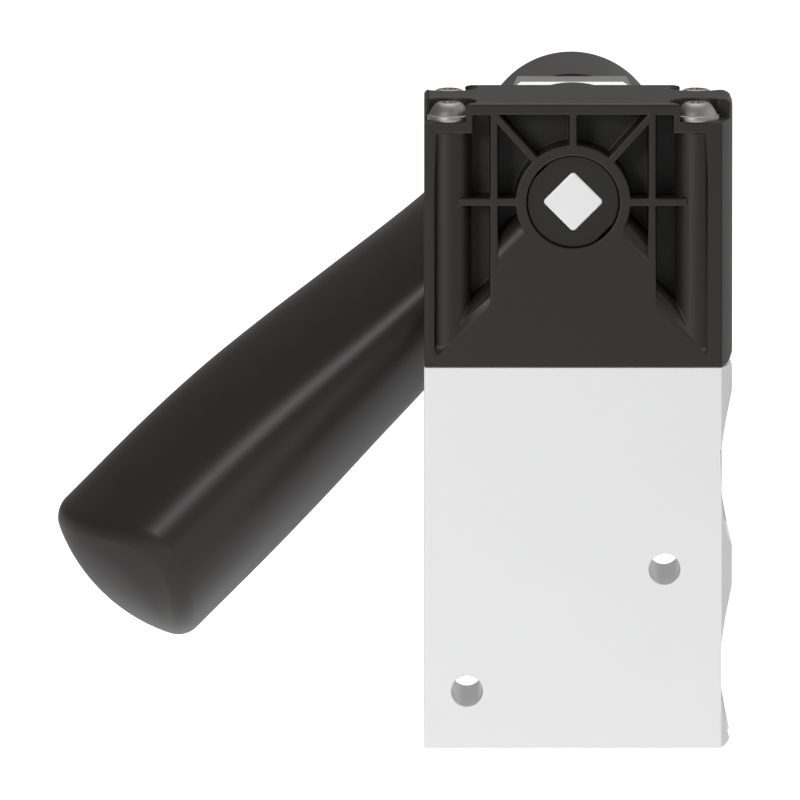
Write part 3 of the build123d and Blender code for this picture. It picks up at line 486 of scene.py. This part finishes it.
# Crank and detent
# Forged steel crank on the square shaft, with its pin, a bronze bush, and the sprung ball that
# drops into the housing's two dimples.
forged_steel = bare_metal("phosphated steel", (0.20, 0.20, 0.20), 0.45, (900, 900, 900))
dress(forged_steel, "drive_crank")
dress(ground_steel, "crank_pin", "detent_ball", "detent_spring")
dress(bronze, "crank_bush")

# Lever
# Long handle and round hub in one black moulding, smoother than the housing. The arm is oval and
# swells towards its domed end, the hub carries a flat for the label, and the gate was on the dome.
# The arm and the hub are in millimetres until they are put in place.
SHAFT_LEVEL = 64.6
SHAFT_AXIS = Vector((0, 0, SHAFT_LEVEL)) * MM
HUB_MIDDLE = 56
HUB_RADIUS = 15.6
HUB_FRONT = 28
HUB_BACK = 84
HUB_EASE = 1.2
HUB_WEB_BACK = 54
HUB_BORE = 12.9
SHAFT_END = 48
SCREW_HOLE = 2.7
SCREW_HOLE_END = 56
CUT_PAST = 6
SQUARE_CUT = (7.56, 26, 7.56)
SQUARE_CUT_MIDDLE = 36
LABEL_CUT = (40, 11.6, 20)
LABEL_CUT_MIDDLE = (0, 46.4, 87)
ARM_DIRECTION = Vector((-1, 0, -1)).normalized()
ARM_ACROSS = Vector((1, 0, -1)).normalized()
ARM_HALF_WIDTH = 26
# Reach along the arm, offset of its centre line, half thickness
ARM_SECTIONS = (
    (10.0, -1.5, 11.6), (26.0, -2.55, 11.65), (45.0, -3.25, 13.35), (58.0, -3.85, 14.45),
    (72.0, -4.25, 15.45), (88.0, -4.35, 15.9), (116.0, -4.2, 15.7),
)
ARM_START = 10
RING_STEP = 3
ARM_RINGS = 28
DOME_CENTRE = 79.85
DOME_OFFSET = -4.7
DOME_RADIUS = 31.0
STRAIGHT_END = 92.0
RIM_MARK = 100.0
RIM_EASE = 2.4
DOME_RINGS = (0.8, 0.7, 0.6, 0.5, 0.4, 0.3, 0.2, 0.1, 0)
ROOT_FLARE = 1.5
FLARE_END = 18.0


def on_curve(reach, column):
    """Value of a column of the arm's sections at a reach, on a smooth curve through them."""
    rows = ARM_SECTIONS
    last = len(rows) - 1
    index = max(i for i in range(last) if i == 0 or rows[i][0] <= reach)
    slopes = []
    for i in (index, index + 1):
        low, high = rows[max(i - 1, 0)], rows[min(i + 1, last)]
        slopes.append((high[column] - low[column]) / (high[0] - low[0]))
    start, end = rows[index], rows[index + 1]
    span = end[0] - start[0]
    t = (reach - start[0]) / span
    return (
        (2 * t ** 3 - 3 * t ** 2 + 1) * start[column] + (t ** 3 - 2 * t ** 2 + t) * span * slopes[0]
        + (3 * t ** 2 - 2 * t ** 3) * end[column] + (t ** 3 - t ** 2) * span * slopes[1]
    )


def arm_skin(reach, across, width):
    """Point of the arm's oval section at a reach, for a point of the unit circle."""
    flare = ROOT_FLARE * max(0, (FLARE_END - reach) / (FLARE_END - ARM_START)) ** 2
    half = on_curve(reach, 2) + flare
    return Vector((on_curve(reach, 1) + half * across, ARM_HALF_WIDTH * width, reach))


def on_dome(point):
    """Put a point of the arm on the dome that closes it."""
    rise = DOME_RADIUS ** 2 - (point.x - DOME_OFFSET) ** 2 - point.y ** 2
    return Vector((point.x, point.y, DOME_CENTRE + sqrt(rise)))


def arm_point(mark):
    """Place a point of the spun blank: its radius and height say where on the arm it goes."""
    share = hypot(mark.x, mark.y)
    across, width = (mark.x / share, mark.y / share) if share else (1, 0)
    if mark.z <= STRAIGHT_END:
        return arm_skin(mark.z, mark.x, mark.y)
    rim = on_dome(arm_skin(RIM_MARK, across, width))
    if mark.z < RIM_MARK:
        blend = (mark.z - STRAIGHT_END) / (RIM_MARK - STRAIGHT_END)
        return arm_skin(STRAIGHT_END + blend * (rim.z - STRAIGHT_END), across, width)
    rim.x = DOME_OFFSET + (rim.x - DOME_OFFSET) * share
    rim.y *= share
    return on_dome(rim)


def lever_arm():
    """The arm with its dome and rounded rim, in place."""
    levels = [ARM_START + RING_STEP * step for step in range(ARM_RINGS)] + [STRAIGHT_END]
    outline = [(0, levels[0])] + [(1, level) for level in levels]
    outline += [(1, (STRAIGHT_END + RIM_MARK) / 2), (1, RIM_MARK)]
    outline += [(share, RIM_MARK) for share in DOME_RINGS]
    work = turned(outline, 144)
    bmesh.ops.scale(work, vec=(1 / MM, 1 / MM, 1 / MM), verts=work.verts)
    corner = {
        vert for vert in work.verts
        if abs(vert.co.z - RIM_MARK) < 0.01 and hypot(vert.co.x, vert.co.y) > 0.99
    }
    for vert in work.verts:
        vert.co = arm_point(vert.co)
    rim = [edge for edge in work.edges if all(vert in corner for vert in edge.verts)]
    work.normal_update()
    bmesh.ops.bevel(
        work, geom=rim, offset=RIM_EASE, offset_type="OFFSET", segments=8, profile=0.5,
        affect="EDGES", clamp_overlap=False, material=-1,
    )
    axes = Matrix((ARM_ACROSS, (0, -1, 0), ARM_DIRECTION)).transposed().to_4x4()
    start = SHAFT_AXIS + Vector((0, HUB_MIDDLE * MM, 0))
    place = Matrix.Translation(start) @ axes @ Matrix.Scale(MM, 4)
    bmesh.ops.transform(work, matrix=place, verts=work.verts)
    bmesh.ops.recalc_face_normals(work, faces=work.faces)
    return work


def along_shaft(outline, steps=128):
    """Turned shape on the shaft's axis, its heights measured from the mounting face."""
    work = turned(outline, steps)
    stand(work, SHAFT_AXIS, (0, 1, 0))
    return work


def shaft_rod(radius, low, high, steps=128):
    """Cylinder on the shaft's axis."""
    return along_shaft(((0, low), (radius, low), (radius, high), (0, high)), steps)


def bar_tool(size, middle, turn=0.0):
    """Rectangular cutter, turned round the shaft's direction."""
    work = bmesh.new()
    bmesh.ops.create_cube(work, size=1)
    bmesh.ops.scale(work, vec=Vector(size) * MM, verts=work.verts)
    bmesh.ops.rotate(work, matrix=Matrix.Rotation(radians(turn), 3, "Y"), verts=work.verts)
    bmesh.ops.translate(work, vec=Vector(middle) * MM, verts=work.verts)
    return work


lever = finished(lever_arm(), "lever")
hub = shaft_rod(HUB_RADIUS, HUB_FRONT, HUB_BACK)
ease(hub, HUB_EASE * MM, 5)
carve(lever, hub, "UNION")
carve(lever, shaft_rod(HUB_BORE, HUB_WEB_BACK, HUB_BACK + CUT_PAST))
carve(lever, bar_tool(SQUARE_CUT, (0, SQUARE_CUT_MIDDLE, SHAFT_LEVEL), 45))
carve(lever, shaft_rod(SCREW_HOLE, SHAFT_END, SCREW_HOLE_END, 48))
carve(lever, bar_tool(LABEL_CUT, LABEL_CUT_MIDDLE))
GATE_MARK = Vector((-81.4, 56, -10.3)) * MM
GATE_RADIUS = 0.62 * MM
GATE_SINK = 0.1
dimple = bmesh.new()
bmesh.ops.create_icosphere(dimple, subdivisions=3, radius=GATE_RADIUS)
bmesh.ops.translate(dimple, vec=GATE_MARK - ARM_DIRECTION * GATE_SINK * MM, verts=dimple.verts)
carve(lever, dimple)
# The cuts leave fine slits and slivers: the slits are closed and the slivers joined to their faces.
SLIVER_ANGLE = 0.1
mended = bmesh.new()
mended.from_mesh(lever.data)
bmesh.ops.remove_doubles(mended, verts=mended.verts, dist=SAME_POINT)
bmesh.ops.holes_fill(mended, edges=[edge for edge in mended.edges if edge.is_boundary], sides=0)
bmesh.ops.dissolve_limit(mended, angle_limit=radians(SLIVER_ANGLE), verts=mended.verts, edges=mended.edges)
mended.to_mesh(lever.data)
mended.free()
lever_plastic = moulded_plastic("lever plastic", (0.0158, 0.0132, 0.0124), 0.35, 0.004 * MM, 0.22)
lever.data.materials.append(lever_plastic)
fitted(lever, "lever", "lever_plastic", "lever_handle")

# Lever screw and hub cap
# A socket screw and washer draw the hub onto the shaft. A moulded cap snaps into the hub's open
# end over them, with a shallow dish and the mark of its gate.
dress(ground_steel, "lever_screw", "lever_washer")
CAP_OUTLINE = (
    (0, 81.6), (11.28, 81.6), (11.28, 77.6), (12.88, 77.6), (12.88, 83.9), (11.2, 83.9),
    (10.7, 83.4), (1.6, 83.4), (1.3, 83.2), (0, 83.2),
)
cap_blank = along_shaft(CAP_OUTLINE)
ease(cap_blank, 0.25 * MM, 3)
cap = finished(cap_blank, "snap_cap")
cap.data.materials.append(lever_plastic)
fitted(cap, "lever", "lever_plastic", "hub_cap")

# Label field on the hub
# A pale carrier sits on the hub's flat, with a white blank strip let into its front edge, for the
# user's own mark.
holder = eased_copy("label_holder", "label_carrier", 0.15 * MM)
holder.data.materials.append(moulded_plastic("carrier plastic", (0.135, 0.135, 0.132), 0.5, 0.01 * MM))
fitted(holder, "lever", "holder_plastic", "label_holder")
strip = eased_copy("position_label", "blank_strip", 0.1 * MM)
strip.data.materials.append(moulded_plastic("white strip", (0.72, 0.72, 0.71), 0.45, 0.006 * MM))
fitted(strip, "lever", "label_white", "position_label")

# Floor, light and camera
# Not part of the object: a white floor well under the valve, which hangs from its mounting face, a
# white surround that reflects brighter from the right and from behind, a soft lamp at the upper left,
# a broad one overhead, and a long lens in front.
FLOOR_LEVEL = -60 * MM
FLOOR_GREY = 0.4
FLOOR_GLOW = 0.88
POOL_MIDDLE = (-0.02, -0.07, 0)
POOL_GLOW = 1.45
LIT_FLOOR = 0.12
DIM_FLOOR = 0.27
BRIGHT_SIDE = (0.9, 0, -0.2)
SIDE_REACH = (0.05, 0.85)
SIDE_SHINE = (0.12, 1.0)
BACKDROP_REACH = (0.94, 0.985)
BACKDROP_SHINE = 0.23
LAMP_AIM = Vector((-0.02, 0.03, 0.03))


def math_node(tree, operation, first, second):
    """Sum, product or larger of two values."""
    node = tree.nodes.new("ShaderNodeMath")
    node.operation = operation
    for socket, value in zip(node.inputs, (first, second)):
        if isinstance(value, (int, float)):
            socket.default_value = value
        else:
            tree.links.new(value, socket)
    return node.outputs[0]


def seen_directly(tree, in_gloss):
    """1 where the eye or a view through something looks, in_gloss in a reflection, else 0."""
    rays = tree.nodes.new("ShaderNodeLightPath").outputs
    mirrored = math_node(tree, "MULTIPLY", rays["Is Glossy Ray"], in_gloss)
    seen = math_node(tree, "MAXIMUM", rays["Is Camera Ray"], mirrored)
    return math_node(tree, "MAXIMUM", seen, rays["Is Transmission Ray"])


ground = bmesh.new()
bmesh.ops.create_grid(ground, x_segments=1, y_segments=1, size=4.0)
bmesh.ops.translate(ground, vec=(0, 0, FLOOR_LEVEL), verts=ground.verts)
sheet = bpy.data.meshes.new("floor")
ground.to_mesh(sheet)
ground.free()
floor = bpy.data.objects.new("floor", sheet)
bpy.context.scene.collection.objects.link(floor)
floor_paint, floor_tree, floor_main, floor_place = shader("floor paint", 0.9, specular=0.1)
floor_main.inputs["Base Color"].default_value = (FLOOR_GREY, FLOOR_GREY, FLOOR_GREY, 1)
floor_main.inputs["Emission Color"].default_value = (1, 1, 1, 1)
# Painted pool of light: in reflections the floor glows bright near the valve and fades to nothing farther
# off, while to the eye it glows evenly white.
reach = floor_tree.nodes.new("ShaderNodeVectorMath")
reach.operation = "DISTANCE"
reach.inputs[1].default_value = POOL_MIDDLE
floor_tree.links.new(floor_place, reach.inputs[0])
pool = spread(floor_tree, reach.outputs["Value"], POOL_GLOW, 0.0, LIT_FLOOR, DIM_FLOOR)
glow = math_node(floor_tree, "MULTIPLY", seen_directly(floor_tree, pool), FLOOR_GLOW)
floor_tree.links.new(glow, floor_main.inputs["Emission Strength"])
sheet.materials.append(floor_paint)

world = bpy.data.worlds.new("studio")
world.use_nodes = True
bpy.context.scene.world = world
sky = world.node_tree
background = sky.nodes["Background"]
background.inputs["Color"].default_value = (1, 1, 1, 1)
look = sky.nodes.new("ShaderNodeTexCoord").outputs["Generated"]
side_light = sky.nodes.new("ShaderNodeVectorMath")
side_light.operation = "DOT_PRODUCT"
side_light.inputs[1].default_value = BRIGHT_SIDE
sky.links.new(look, side_light.inputs[0])
shine = spread(sky, side_light.outputs["Value"], *SIDE_SHINE, *SIDE_REACH)
depth = sky.nodes.new("ShaderNodeSeparateXYZ")
sky.links.new(look, depth.inputs["Vector"])
backdrop = spread(sky, depth.outputs["Y"], 0.0, BACKDROP_SHINE, *BACKDROP_REACH)
shine_level = math_node(sky, "ADD", shine, backdrop)
sky_rays = sky.nodes.new("ShaderNodeLightPath").outputs
mixed = sky.nodes.new("ShaderNodeMix")
sky.links.new(sky_rays["Is Glossy Ray"], mixed.inputs["Factor"])
mixed.inputs["A"].default_value = 1.0
sky.links.new(shine_level, mixed.inputs["B"])
sky.links.new(mixed.outputs["Result"], background.inputs["Strength"])


def soft_lamp(name, towards, distance, width, height, watts):
    """Rectangular soft lamp, placed in a direction from the object's middle and aimed at it."""
    lamp = bpy.data.lights.new(name, "AREA")
    lamp.shape = "RECTANGLE"
    lamp.size = width
    lamp.size_y = height
    lamp.energy = watts
    stand_in = bpy.data.objects.new(name, lamp)
    stand_in.location = LAMP_AIM + Vector(towards).normalized() * distance
    stand_in.rotation_mode = "QUATERNION"
    stand_in.rotation_quaternion = (LAMP_AIM - stand_in.location).to_track_quat("-Z", "Y")
    bpy.context.scene.collection.objects.link(stand_in)


soft_lamp("key", (-0.42, -0.87, 0.31), 0.7, 0.19, 0.19, 1.72)
soft_lamp("overhead", (0, 0.3, 0.95), 0.8, 0.6, 0.8, 2.8)

ELEVATION = radians(7.78)
VIEW_DISTANCE = 6.528
lens = bpy.data.cameras.new("camera")
lens.lens = 1700
lens.sensor_width = 36
lens.clip_start = 0.1
lens.clip_end = 20
camera = bpy.data.objects.new("camera", lens)
away = Vector((0, -cos(ELEVATION), sin(ELEVATION)))
view_aim = Vector((-29.75, 30.0, 26.20)) * MM
camera.location = view_aim + away * VIEW_DISTANCE
camera.rotation_mode = "QUATERNION"
camera.rotation_quaternion = (-away).to_track_quat("-Z", "Y")
bpy.context.scene.collection.objects.link(camera)
bpy.context.scene.camera = camera
bpy.context.scene.view_settings.view_transform = "Standard"
